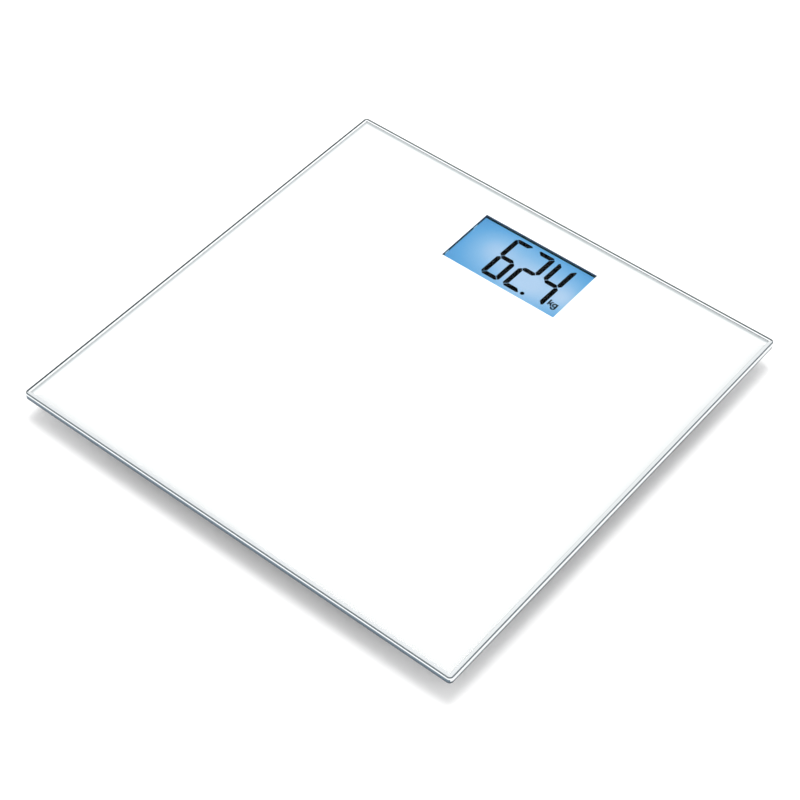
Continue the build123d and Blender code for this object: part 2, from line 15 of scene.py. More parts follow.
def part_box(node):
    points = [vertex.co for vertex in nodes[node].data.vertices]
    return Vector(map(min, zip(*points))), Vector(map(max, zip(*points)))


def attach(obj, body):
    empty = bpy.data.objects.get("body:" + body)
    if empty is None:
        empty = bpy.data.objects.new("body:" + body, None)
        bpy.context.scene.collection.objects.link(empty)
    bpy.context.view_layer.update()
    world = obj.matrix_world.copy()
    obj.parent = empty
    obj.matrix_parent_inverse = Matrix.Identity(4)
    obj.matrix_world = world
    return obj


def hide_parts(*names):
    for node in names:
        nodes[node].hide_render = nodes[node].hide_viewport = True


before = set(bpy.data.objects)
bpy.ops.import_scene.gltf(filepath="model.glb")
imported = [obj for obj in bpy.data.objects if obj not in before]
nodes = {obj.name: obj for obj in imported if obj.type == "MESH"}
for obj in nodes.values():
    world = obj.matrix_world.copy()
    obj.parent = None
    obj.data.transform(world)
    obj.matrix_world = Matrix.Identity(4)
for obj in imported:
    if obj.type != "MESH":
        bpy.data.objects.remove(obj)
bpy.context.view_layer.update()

# %% [markdown] Most measures come from the frame itself.

# %% Read the main sizes
MM = 0.001
glass_low, glass_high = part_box("glass_platform")
half_side = glass_high.x
glass_under, glass_top = glass_low.z, glass_high.z
gasket_low, gasket_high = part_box("display_gasket")
display_middle = (gasket_low + gasket_high) / 2
print("platform", round(2 * half_side / MM), "mm, glass", round((glass_top - glass_under) / MM, 2), "mm")

# %% [markdown]
# ## Writing shaders as sums
# A procedural material is arithmetic on sockets. `Wire` wraps one output socket and overloads the
# operators, so `1 - mask * 0.5` adds the Math nodes by itself. Only values go through Math nodes,
# because a Math node would turn a colour grey. Colours go through Mix, and vectors through Vector Math.

# %% A socket that understands arithmetic
def forward(operation):
    """A method that puts the wire first and the other value second."""
    return lambda self, other: self._math(operation, self, other)


def reflected(operation):
    """The same for a number on the left, such as 1 - mask."""
    return lambda self, other: self._math(operation, other, self)


def alone(operation):
    """A method that needs no other value."""
    return lambda self: self._math(operation, self)


class Wire:
    def __init__(self, paint, socket):
        self.paint, self.socket = paint, socket

    def _math(self, operation, *values, clamp=False):
        settings = {"operation": operation, "use_clamp": clamp}
        return self.paint.node("ShaderNodeMath", settings, dict(enumerate(values)))

    __add__, __radd__ = forward("ADD"), reflected("ADD")
    __sub__, __rsub__ = forward("SUBTRACT"), reflected("SUBTRACT")
    __mul__, __rmul__ = forward("MULTIPLY"), reflected("MULTIPLY")
    __truediv__, __rtruediv__ = forward("DIVIDE"), reflected("DIVIDE")
    __gt__, __lt__ = forward("GREATER_THAN"), forward("LESS_THAN")
    __pow__ = forward("POWER")
    max, min, wrap = forward("MAXIMUM"), forward("MINIMUM"), forward("MODULO")
    abs, sin, sqrt = alone("ABSOLUTE"), alone("SINE"), alone("SQRT")

    def clamp(self):
        return self._math("ADD", self, 0.0, clamp=True)

    def step(self, low, high):
        """0 below low, 1 above high and straight between."""
        return ((self - low) / (high - low)).clamp()

    def band(self, middle, half, soft):
        """1 within half of middle, fading to 0 over soft."""
        return 1 - (self - middle).abs().step(half, half + soft)

print("wires can be", ", ".join(name for name in vars(Wire) if not name.startswith("_")))

# %% A material and its nodes
class Paint:
    """One procedural material. node() adds any node, and the named helpers keep the recipes short."""

    def __init__(self, name):
        self.material = bpy.data.materials.new(name)
        self.material.use_nodes = True
        self.tree = self.material.node_tree
        self.tree.nodes.clear()
        self.place = self.node("ShaderNodeTexCoord", {}, {}, out="Object")

    def node(self, kind, settings, inputs, out=0):
        made = self.tree.nodes.new(kind)
        for key, value in settings.items():
            if key == "stops":
                self._stops(made, value)
            else:
                setattr(made, key, value)
        for key, value in inputs.items():
            if isinstance(value, Wire):
                self.tree.links.new(value.socket, made.inputs[key])
            else:
                made.inputs[key].default_value = value
        return Wire(self, made.outputs[out]) if made.outputs else None

    def _stops(self, made, stops):
        ramp = made.color_ramp
        while len(ramp.elements) < len(stops):
            ramp.elements.new(0.5)
        for element, (position, colour) in zip(ramp.elements, stops):
            element.position = position
            element.color = (*colour, 1.0)

    def ramp(self, value, stops, mode="LINEAR"):
        made = self.node("ShaderNodeValToRGB", {"stops": stops}, {0: value})
        made.socket.node.color_ramp.interpolation = mode
        return made

    def mix(self, factor, first, second):
        """Blends two colours."""
        first = first if isinstance(first, Wire) else (*first, 1.0)
        second = second if isinstance(second, Wire) else (*second, 1.0)
        settings = {"data_type": "RGBA", "clamp_factor": True}
        return self.node("ShaderNodeMix", settings, {0: factor, 6: first, 7: second}, out=2)

    def noise(self, scale, detail=3.0, rough=0.5, where=None):
        inputs = {"Vector": where or self.place, "Scale": scale, "Detail": detail, "Roughness": rough}
        return self.node("ShaderNodeTexNoise", {}, inputs, out="Fac")

    def cells(self, scale):
        """The distance from the heart of the nearest cell."""
        inputs = {"Vector": self.place, "Scale": scale}
        return self.node("ShaderNodeTexVoronoi", {"feature": "F1"}, inputs, out="Distance")

    def axes(self):
        """X, Y and Z of the point, as three values."""
        split = self.node("ShaderNodeSeparateXYZ", {}, {0: self.place})
        outputs = split.socket.node.outputs
        return [Wire(self, outputs[i]) for i in range(3)]

    def stretched(self, x, y, z):
        """The object's own coordinates, scaled apart on each axis."""
        return self.node("ShaderNodeVectorMath", {"operation": "MULTIPLY"}, {0: self.place, 1: (x, y, z)})

    def bump(self, height, depth, strength):
        inputs = {"Height": height, "Distance": depth, "Strength": strength}
        return self.node("ShaderNodeBump", {}, inputs)

    def surface(self, **inputs):
        """A Principled shader; underscores in a keyword stand for spaces."""
        named = {}
        for key, value in inputs.items():
            if isinstance(value, tuple) and len(value) == 3:
                value = (*value, 1.0)
            named[key.replace("_", " ")] = value
        return self.node("ShaderNodeBsdfPrincipled", {}, named)

    def lets_light_in(self, shader, kind):
        """Rays of that kind pass straight through, so that light reaches what lies under glass."""
        ray = self.node("ShaderNodeLightPath", {}, {}, out=kind)
        open_air = self.node("ShaderNodeBsdfTransparent", {}, {})
        return self.node("ShaderNodeMixShader", {}, {0: ray, 1: shader, 2: open_air})

    def done(self, shader):
        self.node("ShaderNodeOutputMaterial", {}, {"Surface": shader})
        return self.material

print("recipe helpers:", ", ".join(name for name in vars(Paint) if not name.startswith("_")))

# %% Dressing sub-parts
FEET = ("front_left", "front_right", "rear_left", "rear_right")


def finish(material, *names):
    """Gives CAD sub-parts a material."""
    for name in names:
        mesh = nodes[name].data
        mesh.materials.clear()
        mesh.materials.append(material)
    print(material.name, "->", len(names), "sub-parts")


def for_feet(stem):
    """The names of one sub-part at all four feet."""
    return [f"{stem}_{foot}" for foot in FEET]

print("feet:", ", ".join(FEET))

# %% [markdown]
# ## The tempered glass
# The platform is one sheet of clear float glass. One Principled shader with full transmission could make it,
# but its reflections come out too strong. Here a refraction shader with glass's index of 1.52 bends what
# lies behind, and a weak glossy one, mixed in by Fresnel, adds a faint shine. Diffuse and shadow rays pass
# straight through, or the print under the glass would be dark. The rim is rounded by grinding and polished.
# Its light and shade are painted into an opaque layer over the last millimetres: a painted white glow on top
# and a painted white highlight on the upper part of the edge, painted blue-grey reflection and dark shade on
# the lower half, a painted dark line along the top rounding, and wider painted bands on the rear and left
# edges than on the front and right. A signed-distance sum finds how far a point lies from the outline, and
# that distance places the painted rim.

# %% Distance from the rim
PLAN_RADIUS = 2.5 * MM
RIM_RADIUS = 0.8 * MM
SKIN = 0.02 * MM


def distance_from_rim(x, y, half, radius):
    """How far a point is inside a rounded square outline."""
    over_x = x.abs() - (half - radius)
    over_y = y.abs() - (half - radius)
    corner_x, corner_y = over_x.max(0.0), over_y.max(0.0)
    outside = (corner_x * corner_x + corner_y * corner_y).sqrt()
    return radius - outside - over_x.max(over_y).min(0.0)

print("corner radius", round(PLAN_RADIUS / MM, 1), "mm, rim radius", round(RIM_RADIUS / MM, 1), "mm")

# %% Glass material
GLASS_INDEX = 1.52
COATED_SHINE = 0.10
# The rim's painted highlight and shade cover this width, with this soft border.
PAINTED_RIM_WIDTH, PAINTED_RIM_SOFT = 2.45 * MM, 0.25 * MM
# Where the painted dark line along the top rounding starts, and how far in it reaches on the front/right and
# on the rear/left.
ARRIS_FROM = 0.92
ARRIS_NEAR, ARRIS_FAR = 0.78 * MM, 1.50 * MM


def make_glass():
    """Clear inside, with painted highlight and shade along the rim. The rear and left edges get wider
    painted bands than the others.
    """
    paint = Paint("clear_tempered_glass")
    x, y, z = paint.axes()
    inside = distance_from_rim(x, y, half_side, PLAN_RADIUS)
    on_front_or_rear, rear_left_half = y.abs() > x.abs(), y > x
    height = (z - glass_under) / (glass_top - glass_under)
    smear = paint.noise(9.0, 4.0, 0.6)
    # Painted by height on the rim: dark painted shade at the bottom, painted blue-grey reflection and shade
    # in the middle, a painted white highlight at the top.
    wide_painted_rim_light = paint.ramp(height, [
        (0.00, (0.025, 0.035, 0.045)),
        (0.16, (0.045, 0.065, 0.085)),
        (0.28, (0.115, 0.16, 0.20)),
        (0.62, (0.13, 0.19, 0.245)),
        (0.73, (0.94, 0.98, 1.00)),
        (1.00, (0.96, 0.99, 1.00)),
    ])
    narrow_painted_rim_light = paint.ramp(height, [
        (0.00, (0.025, 0.035, 0.042)),
        (0.27, (0.045, 0.060, 0.070)),
        (0.36, (0.18, 0.22, 0.25)),
        (0.44, (0.96, 0.99, 1.00)),
        (1.00, (0.97, 0.99, 1.00)),
    ])
    rim = paint.mix(on_front_or_rear, narrow_painted_rim_light, wide_painted_rim_light)
    on_side = inside < RIM_RADIUS
    # A painted dark line along the top rounding, wider on the rear and left.
    painted_arris_line = (height > ARRIS_FROM) * (inside < rear_left_half * (ARRIS_FAR - ARRIS_NEAR) + ARRIS_NEAR)
    # A painted white glow on top over the last millimetres, greyer on the front and right.
    flood = paint.mix(rear_left_half, (0.61, 0.635, 0.645), (0.80, 0.83, 0.84))
    painted_rim_light_and_shade = paint.mix(on_side, flood, rim)
    painted_arris_shade = paint.mix(rear_left_half, (0.14, 0.165, 0.18), (0.035, 0.048, 0.055))
    colour = paint.mix(painted_arris_line, painted_rim_light_and_shade, painted_arris_shade)
    painted_rim_surface = paint.surface(
        Base_Color=colour, Roughness=0.22 + smear * 0.06, Specular_IOR_Level=0.1, Coat_Weight=0.05,
        Coat_Roughness=0.03,
    )
    bent = paint.node("ShaderNodeBsdfRefraction", {}, {
        "Color": (0.985, 0.995, 0.995, 1.0), "Roughness": 0.0, "IOR": GLASS_INDEX,
    })
    shine = paint.node("ShaderNodeBsdfAnisotropic", {}, {"Color": (0.9, 0.95, 1.0, 1.0), "Roughness": 0.02})
    fresnel = paint.node("ShaderNodeFresnel", {}, {"IOR": GLASS_INDEX})
    clear = paint.node("ShaderNodeMixShader", {}, {0: fresnel * COATED_SHINE, 1: bent, 2: shine})
    # Only this outer band carries the painted light and shade; the rest stays clear glass.
    edge = (1 - inside.step(PAINTED_RIM_WIDTH, PAINTED_RIM_WIDTH + PAINTED_RIM_SOFT)) * (z > glass_under + SKIN)
    sheet = paint.node("ShaderNodeMixShader", {}, {0: edge, 1: clear, 2: painted_rim_surface})
    return paint.done(paint.lets_light_in(paint.lets_light_in(sheet, "Is Diffuse Ray"), "Is Shadow Ray"))

glass_material = make_glass()
print("glass recipe:", len(glass_material.node_tree.nodes), "nodes")

# %% [markdown]
# The frame's own glass is faceted along its rounded rim, and a thin reflection shows every facet. A bevel
# modifier could round it again, but the profile is known, so the sheet is built in bmesh: one rounded square
# of points for each ring of the edge profile, stitched together and closed with two flat faces.

# %% From rings of points to a piece
RIM_STEPS, CORNER_STEPS = 8, 10


def rounded_square(half, radius, corner_steps):
    """Points of a square outline with rounded corners, counter-clockwise."""
    points = []
    for quarter in range(4):
        turn = Matrix.Rotation(quarter * math.pi / 2, 2)
        for i in range(corner_steps + 1):
            a = i / corner_steps * math.pi / 2
            x = half - radius + radius * math.cos(a)
            y = half - radius + radius * math.sin(a)
            points.append(turn @ Vector((x, y)))
    return points


def as_piece(name, mesh, material, body, smooth_angle):
    """Turns a bmesh into an object that rides on a body."""
    data = bpy.data.meshes.new(name)
    mesh.to_mesh(data)
    mesh.free()
    data.materials.append(material)
    piece = bpy.data.objects.new(name, data)
    bpy.context.scene.collection.objects.link(piece)
    data.shade_smooth()
    data.set_sharp_from_angle(angle=math.radians(smooth_angle))
    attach(piece, body)
    return piece


def lofted(name, rings, material, body, smooth_angle):
    """A closed solid from rings of points. Its caps stay flat-shaded, or they would bend what is behind."""
    mesh = bmesh.new()
    loops = [[mesh.verts.new(p) for p in ring] for ring in rings]
    for lower, upper in zip(loops, loops[1:]):
        count = len(lower)
        for i in range(count):
            j = (i + 1) % count
            mesh.faces.new((lower[i], lower[j], upper[j], upper[i]))
    mesh.faces.new(list(reversed(loops[0])))
    mesh.faces.new(loops[-1])
    bmesh.ops.recalc_face_normals(mesh, faces=mesh.faces)
    piece = as_piece(name, mesh, material, body, smooth_angle)
    for cap in piece.data.polygons[-2:]:
        cap.use_smooth = False
    return piece

print("points in one ring:", len(rounded_square(half_side, PLAN_RADIUS, CORNER_STEPS)))

# %% Build the sheet
HAIR = 0.01 * MM


def glass_rings():
    """The edge profile all round, from a hair above the print, so that no two faces share a plane."""
    angles = [i / RIM_STEPS * math.pi / 2 for i in range(RIM_STEPS + 1)]
    bottom = glass_under + HAIR
    under = [(RIM_RADIUS * (1 - math.sin(a)), bottom + RIM_RADIUS * (1 - math.cos(a))) for a in angles]
    above = [(RIM_RADIUS * (1 - math.cos(a)), glass_top - RIM_RADIUS * (1 - math.sin(a))) for a in angles]
    rings = []
    for inset, z in under + above:
        outline = rounded_square(half_side - inset, PLAN_RADIUS - inset, CORNER_STEPS)
        rings.append([(p.x, p.y, z) for p in outline])
    return rings

sheet_of_glass = lofted("platform_glass", glass_rings(), glass_material, "scale", 60.0)
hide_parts("glass_platform")
print("glass faces:", len(sheet_of_glass.data.polygons))

# %% [markdown]
# ## The white print
# A white enamel is fired onto the underside of the glass. An even white would do for most of it, but close
# to its border less light comes back through the sheet, so a painted shade greys it softly over the last few
# millimetres, and a wider, fainter painted shade reaches in from the front and right edges. The same
# distance sum as before places that painted border. Seen from below the enamel has a grey backing, with a
# fine orange peel and a few pinholes.

# %% Print material
PAINTED_BORDER_SHADE = 4.2 * MM
SHADE_FROM, SHADE_TO, SHADE_DEPTH = 3 * MM, 17 * MM, 0.37


def make_print():
    paint = Paint("white_enamel_print")
    x, y, z = paint.axes()
    inside = distance_from_rim(x, y, half_side, PLAN_RADIUS)
    grain = paint.noise(900.0, 3.0)
    cloud = paint.noise(14.0, 4.0)
    pinholes = paint.cells(260.0).step(0.02, 0.05)
    # Painted shade: the white greys towards the border of the print.
    white = paint.ramp(inside / PAINTED_BORDER_SHADE, [
        (0.20, (0.290, 0.310, 0.320)),
        (0.36, (0.400, 0.420, 0.430)),
        (0.55, (0.610, 0.625, 0.630)),
        (0.72, (0.760, 0.770, 0.775)),
        (1.00, (0.970, 0.970, 0.970)),
    ])
    # Painted shade reaching in further from the front and right edges.
    shade = (1 - inside.step(SHADE_FROM, SHADE_TO)) * (1 - (y > x)) * SHADE_DEPTH
    shaded = paint.mix(shade, white, (0.0, 0.0, 0.005))
    tone = paint.mix(cloud * 0.02, shaded, (0.86, 0.87, 0.88))
    backing = paint.mix((1 - pinholes) * 0.4, (0.46, 0.47, 0.48), (0.30, 0.31, 0.32))
    print_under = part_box("white_back_print")[0].z
    colour = paint.mix(z < print_under + SKIN, tone, backing)
    relief = paint.bump(grain, 0.01 * MM, 0.4)
    return paint.done(paint.surface(Base_Color=colour, Roughness=0.42 + grain * 0.12, Normal=relief))

finish(make_print(), "white_back_print")

# %% [markdown]
# ## The display
# Looking down through the window there is a frame of foam, and inside it a polariser film, two thin glasses
# with the figures between them, a second film, and a lit diffuser underneath. The frame is a gasket of soft
# foam, pressed between the glass and the housing. A plain one would look hard, so its walls bulge a little,
# by a half wave from bottom to top.

# %% Foam material
def make_foam():
    paint = Paint("black_foam")
    pores = paint.cells(2600.0)
    clumps = paint.noise(500.0, 4.0)
    # The pore hearts are painted darker: painted shade in the pores.
    colour = paint.mix(pores.step(0.1, 0.6), (0.035, 0.065, 0.105), (0.085, 0.130, 0.190))
    relief = paint.bump(pores * 0.7 + clumps * 0.3, 0.08 * MM, 0.8)
    return paint.done(paint.surface(Base_Color=colour, Roughness=0.85, Normal=relief))

foam = make_foam()
print("foam recipe:", len(foam.node_tree.nodes), "nodes")

# %% Squeezed gasket
BULGE, BULGE_STEPS = 0.12 * MM, 7
window_half = Vector((40.5, 22.0)) * MM
inner_half = window_half + Vector((0.1, 0.1)) * MM
gasket_rim = gasket_high.x - display_middle.x - inner_half.x


def frame_outline(margin, z):
    """Rectangle around the display opening, grown by margin."""
    x, y = inner_half.x + margin, inner_half.y + margin
    corners = [(x, y), (-x, y), (-x, -y), (x, -y)]
    return [(display_middle.x + a, display_middle.y + b, z) for a, b in corners]


def squeezed_gasket(material):
    """Foam strip frame whose walls bulge a little under the pressure of the glass."""
    inner, outer = [], []
    for i in range(BULGE_STEPS):
        t = i / (BULGE_STEPS - 1)
        bulge = BULGE * math.sin(math.pi * t)
        z = gasket_low.z + (gasket_high.z - gasket_low.z) * t
        inner.append(frame_outline(BULGE - bulge, z))
        outer.append(frame_outline(gasket_rim - BULGE + bulge, z))
    mesh = bmesh.new()
    loops = [[mesh.verts.new(p) for p in ring] for ring in inner + outer[::-1]]
    for lower, upper in zip(loops, loops[1:] + loops[:1]):
        for i in range(4):
            j = (i + 1) % 4
            mesh.faces.new((lower[i], lower[j], upper[j], upper[i]))
    bmesh.ops.recalc_face_normals(mesh, faces=mesh.faces)
    return as_piece("foam_gasket", mesh, material, "scale", 70.0)

gasket = squeezed_gasket(foam)
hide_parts("display_gasket")
print("gasket rim", round(gasket_rim / MM, 2), "mm")

# %% [markdown]
# The films and thin glasses could refract as the platform does, but they are flat, thin and close together,
# so nothing behind them would move. A mix of transparent and glossy looks the same without the noise. Their
# faces touch in the frame, and faces in one plane flicker, so a small Displace modifier draws each a hair
# inside itself.

# %% Display panes
def make_pane(name, tint, shine):
    """A thin pane: what is behind shows through, and a little of the room reflects."""
    paint = Paint(name)
    dust = paint.noise(700.0, 4.0, 0.7).step(0.62, 0.80)
    through = paint.node("ShaderNodeBsdfTransparent", {}, {"Color": (*tint, 1.0)})
    gloss = paint.surface(Base_Color=(0.02, 0.03, 0.04), Roughness=0.06 + dust * 0.3)
    return paint.done(paint.node("ShaderNodeMixShader", {}, {0: shine + dust * 0.002, 1: through, 2: gloss}))


def shrink(*names):
    """Draws the faces of touching sub-parts a hair apart, so that no two surfaces share one plane."""
    for name in names:
        gap = nodes[name].modifiers.new("hair_gap", "DISPLACE")
        gap.strength, gap.mid_level = -HAIR, 0.0

polarisers = ("lcd_front_polariser", "lcd_rear_polariser")
thin_glasses = ("lcd_front_glass", "lcd_rear_glass")
finish(make_pane("satin_polariser", (0.97, 0.98, 1.0), 0.006), *polarisers)
finish(make_pane("thin_display_glass", (0.99, 0.995, 1.0), 0.003), *thin_glasses)
shrink(*polarisers, *thin_glasses)

# %% [markdown]
# The figures are a film of liquid crystal, which turns black where it is switched on. Ink on the pane's own
# material would need the outline of every figure in shader maths. The frame has them as thin solids, so they
# are taken from there, and each point moves out a little along its normal, as ink spreads, and away from
# both panes.

# %% Liquid crystal ink
ink_low, ink_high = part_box("lcd_segments")
SIGN_CORNER = Vector((ink_high.x - 8.2 * MM, ink_low.y + 8.5 * MM))
SIGN_SPREAD, FIGURE_SPREAD = 0.13 * MM, 0.04 * MM
SAME_POINT = 0.0001 * MM


def make_ink():
    paint = Paint("liquid_crystal_ink")
    depth = paint.noise(400.0, 2.0)
    colour = paint.mix(depth, (0.0006, 0.0010, 0.0016), (0.0014, 0.0020, 0.0030))
    return paint.done(paint.surface(Base_Color=colour, Roughness=0.6, Specular_IOR_Level=0.0))


def draw_ink(material):
    """The frame's figures with their edges spread a little, as ink does, and clear of both panes."""
    mesh = bmesh.new()
    mesh.from_mesh(nodes["lcd_segments"].data)
    bmesh.ops.remove_doubles(mesh, verts=mesh.verts, dist=SAME_POINT)
    mesh.normal_update()
    for vertex in mesh.verts:
        in_sign = vertex.co.x > SIGN_CORNER.x and vertex.co.y < SIGN_CORNER.y
        outwards = vertex.normal.xy.normalized() * (SIGN_SPREAD if in_sign else FIGURE_SPREAD)
        vertex.co += Vector((outwards.x, outwards.y, -math.copysign(HAIR, vertex.normal.z)))
    return as_piece("liquid_crystal_ink", mesh, material, "scale", 30.0)

ink = draw_ink(make_ink())
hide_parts("lcd_segments")
print("ink faces:", len(ink.data.polygons))

# %% [markdown]
# Under the figures a light guide and a diffuser glow. Real lamps at its edge would need many samples to
# settle, so the diffuser emits by itself, and its colour is painted: deep blue near the borders, paler in
# round pools where the lamps flood the guide.

# %% Back light
POOLS = (((-20, 113), 15, 0.55), ((9, 103), 17, 0.75), ((35, 106), 12, 0.62))
GLOW_HALF = Vector((42.0, 24.0)) * MM


def glow_at(x, y, at, reach):
    """A soft round pool of light; its place and reach are in millimetres."""
    dx, dy = (x - at[0] * MM) / (reach * MM), (y - at[1] * MM) / (reach * MM)
    return 1 / (1 + dx * dx + dy * dy)


def make_back_light():
    paint = Paint("blue_back_light")
    x, y, _ = paint.axes()
    pools = sum(glow_at(x, y, at, reach) * share for at, reach, share in POOLS)
    across = ((x - display_middle.x).abs() / GLOW_HALF.x) ** 4
    along = ((y - display_middle.y).abs() / GLOW_HALF.y) ** 3
    level = (pools + 0.14 - across * 0.10 - along * 0.20).clamp()
    grain = paint.noise(5000.0, 2.0)
    colour = paint.ramp(level + (grain - 0.5) * 0.02, [
        (0.00, (0.095, 0.345, 0.650)),
        (0.35, (0.165, 0.470, 0.780)),
        (0.65, (0.310, 0.595, 0.850)),
        (1.00, (0.565, 0.750, 0.920)),
    ])
    return paint.done(paint.surface(
        Base_Color=(0.02, 0.03, 0.05), Roughness=0.6, Specular_IOR_Level=0.0,
        Emission_Color=colour, Emission_Strength=1.0,
    ))

finish(make_back_light(), "backlight_diffuser", "backlight_light_guide")

# %% [markdown]
# ## Moulded plastics
# Almost everything under the glass is injection moulded. Such parts carry a fine spark-eroded texture,
# slight flow marks, and a shine that wears in where fingers touch. An image of each could be laid over them,
# but maths needs no unwrapping and stays sharp close up. One recipe with a few settings covers them: two
# scales of noise for the texture, a slow cloud for the colour.

# %% Plastic recipe
SPARK_GRAIN = 2200.0


def make_plastic(name, colour, shade, texture=0.02, rough=0.48):
    """The texture's depth is in millimetres."""
    paint = Paint(name)
    fine = paint.cells(SPARK_GRAIN)
    coarse = paint.noise(SPARK_GRAIN * 0.35, 3.0)
    flow = paint.noise(1.0, 5.0, 0.6, paint.stretched(25.0, 60.0, 25.0))
    scuff = paint.noise(1.0, 6.0, 0.7, paint.stretched(900.0, 60.0, 200.0)).step(0.64, 0.70)
    tone = paint.mix(flow.step(0.35, 0.75), colour, shade)
    worn = paint.mix(scuff * 0.25, tone, tuple(min(1.0, c * 1.15 + 0.02) for c in colour))
    relief = paint.bump(fine * 0.6 + coarse * 0.4, texture * MM, 0.6)
    gloss = rough + (coarse - 0.5) * 0.12 - scuff * 0.08
    return paint.done(paint.surface(Base_Color=worn, Roughness=gloss, Normal=relief))

white_plastic = make_plastic("white_textured_plastic", (0.78, 0.79, 0.79), (0.72, 0.73, 0.74))
grey_plastic = make_plastic("grey_textured_plastic", (0.30, 0.31, 0.32), (0.26, 0.27, 0.28))
black_plastic = make_plastic("black_plastic", (0.018, 0.018, 0.020), (0.026, 0.026, 0.028), 0.012, 0.38)
finish(white_plastic, "housing_frame", "housing_cover", "battery_door", *for_feet("foot_housing"))
finish(white_plastic, *for_feet("wire_cover"), *for_feet("foot_cap"))
finish(grey_plastic, "unit_button")
finish(black_plastic, "unit_switch_body", "unit_switch_plunger", "coin_cell_holder")

# %% [markdown]
# ## Metals
# The load cells are stamped from spring steel and carry long rolling marks. Screws and contacts are zinc
# plated, and the coin cell is nickel with turned rings. An anisotropic gloss would draw out the highlights
# but show no marks close up. A noise stretched one way, or a wave of the radius, gives them as relief.

# %% Rolled and plated steel
def make_steel(name, colour, stretch, rough):
    paint = Paint(name)
    grain = paint.noise(1.0, 4.0, 0.6, paint.stretched(*stretch))
    stain = paint.noise(120.0, 4.0, 0.6)
    tone = paint.mix(stain.step(0.45, 0.75) * 0.5, colour, tuple(c * 0.72 for c in colour))
    relief = paint.bump(grain, 0.006 * MM, 0.7)
    gloss = rough + grain * 0.16 + stain * 0.05
    return paint.done(paint.surface(Base_Color=tone, Metallic=1.0, Roughness=gloss, Normal=relief))

spring_steel = make_steel("rolled_spring_steel", (0.52, 0.53, 0.54), (3000.0, 90.0, 3000.0), 0.24)
zinc = make_steel("zinc_plated_steel", (0.66, 0.67, 0.68), (900.0, 900.0, 200.0), 0.20)
finish(spring_steel, *for_feet("load_cell"))
finish(zinc, "board_screws", "housing_screws", "cell_contact_negative", "cell_contact_positive")

# %% Turned nickel
RING_WAVES = 42000.0


def make_turned(name, middle, colour):
    """Metal with fine rings around a vertical axis."""
    paint = Paint(name)
    x, y, _ = paint.axes()
    dx, dy = x - middle.x, y - middle.y
    radius = (dx * dx + dy * dy).sqrt()
    rings = (radius * RING_WAVES).sin() * 0.5 + 0.5
    wipe = paint.noise(500.0, 4.0)
    tone = paint.mix(wipe * 0.4, colour, tuple(c * 0.8 for c in colour))
    relief = paint.bump(rings, 0.003 * MM, 0.5)
    gloss = 0.22 + wipe * 0.15
    return paint.done(paint.surface(Base_Color=tone, Metallic=1.0, Roughness=gloss, Normal=relief))

cell_low, cell_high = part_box("coin_cell")
finish(make_turned("nickel_plated_can", (cell_low + cell_high) / 2, (0.72, 0.72, 0.71)), "coin_cell")

# %% [markdown]
# ## Inside the housing
# The board is fibreglass under a green mask. Copper tracks show as slightly lighter, raised lines, and the
# weave of the cloth shows faintly between them. Modelled tracks would be lost at this size, so lanes that
# repeat along X or Y draw them, with a slow noise to say which way they run in each zone. The pads are the
# hearts of noise cells, kept in a few patches.

# %% Circuit board
WEAVE_WAVES = 6000.0
LANE_X, LANE_Y, LANE_DRIFT = 2.4 * MM, 3.1 * MM, 4.0 * MM


def make_board():
    paint = Paint("green_solder_mask")
    x, y, _ = paint.axes()
    weave = ((x * WEAVE_WAVES).sin() * (y * WEAVE_WAVES).sin()) * 0.5 + 0.5
    drift = paint.noise(60.0, 1.0)
    lane_x = ((x + drift * LANE_DRIFT) / LANE_X).wrap(1.0).abs().band(0.5, 0.16, 0.06)
    lane_y = ((y - drift * LANE_DRIFT) / LANE_Y).wrap(1.0).abs().band(0.5, 0.13, 0.06)
    zone = paint.noise(45.0, 0.0).step(0.50, 0.52)
    tracks = lane_x * zone + lane_y * (1 - zone)
    pads = paint.cells(330.0).band(0.0, 0.16, 0.03) * paint.noise(80.0, 0.0).step(0.56, 0.58)
    mask = paint.mix(weave * 0.35, (0.010, 0.105, 0.045), (0.016, 0.150, 0.062))
    traced = paint.mix(tracks * 0.8, mask, (0.030, 0.240, 0.090))
    colour = paint.mix(pads, traced, (0.75, 0.72, 0.66))
    relief = paint.bump(tracks * 0.6 + pads + weave * 0.1, 0.03 * MM, 0.8)
    return paint.done(paint.surface(
        Base_Color=colour, Roughness=0.34 - pads * 0.10, Metallic=pads * 0.9, Coat_Weight=0.3, Normal=relief
    ))

finish(make_board(), "circuit_board")

# %% [markdown]
# The controller sits under a drop of black epoxy, the other chips are brown-black bodies with specks of
# solder, and the lamps have a yellow phosphor that glows a little. Each is small and mostly hidden, so one
# or two noises do for each recipe.

# %% Epoxy, chips and lamps
def make_epoxy():
    paint = Paint("black_potting_drop")
    swirl = paint.noise(260.0, 5.0, 0.6)
    colour = paint.mix(swirl, (0.006, 0.006, 0.007), (0.020, 0.020, 0.022))
    relief = paint.bump(swirl, 0.10 * MM, 0.5)
    return paint.done(paint.surface(Base_Color=colour, Roughness=0.16 + swirl * 0.12, Normal=relief))


def make_chips():
    paint = Paint("chip_bodies")
    tone = paint.noise(900.0, 2.0)
    body = paint.mix(tone, (0.055, 0.040, 0.030), (0.110, 0.080, 0.055))
    speck = paint.noise(2500.0, 2.0).step(0.55, 0.60)
    relief = paint.bump(tone, 0.02 * MM, 0.6)
    colour = paint.mix(speck * 0.3, body, (0.60, 0.58, 0.55))
    return paint.done(paint.surface(Base_Color=colour, Roughness=0.38 + tone * 0.1, Normal=relief))


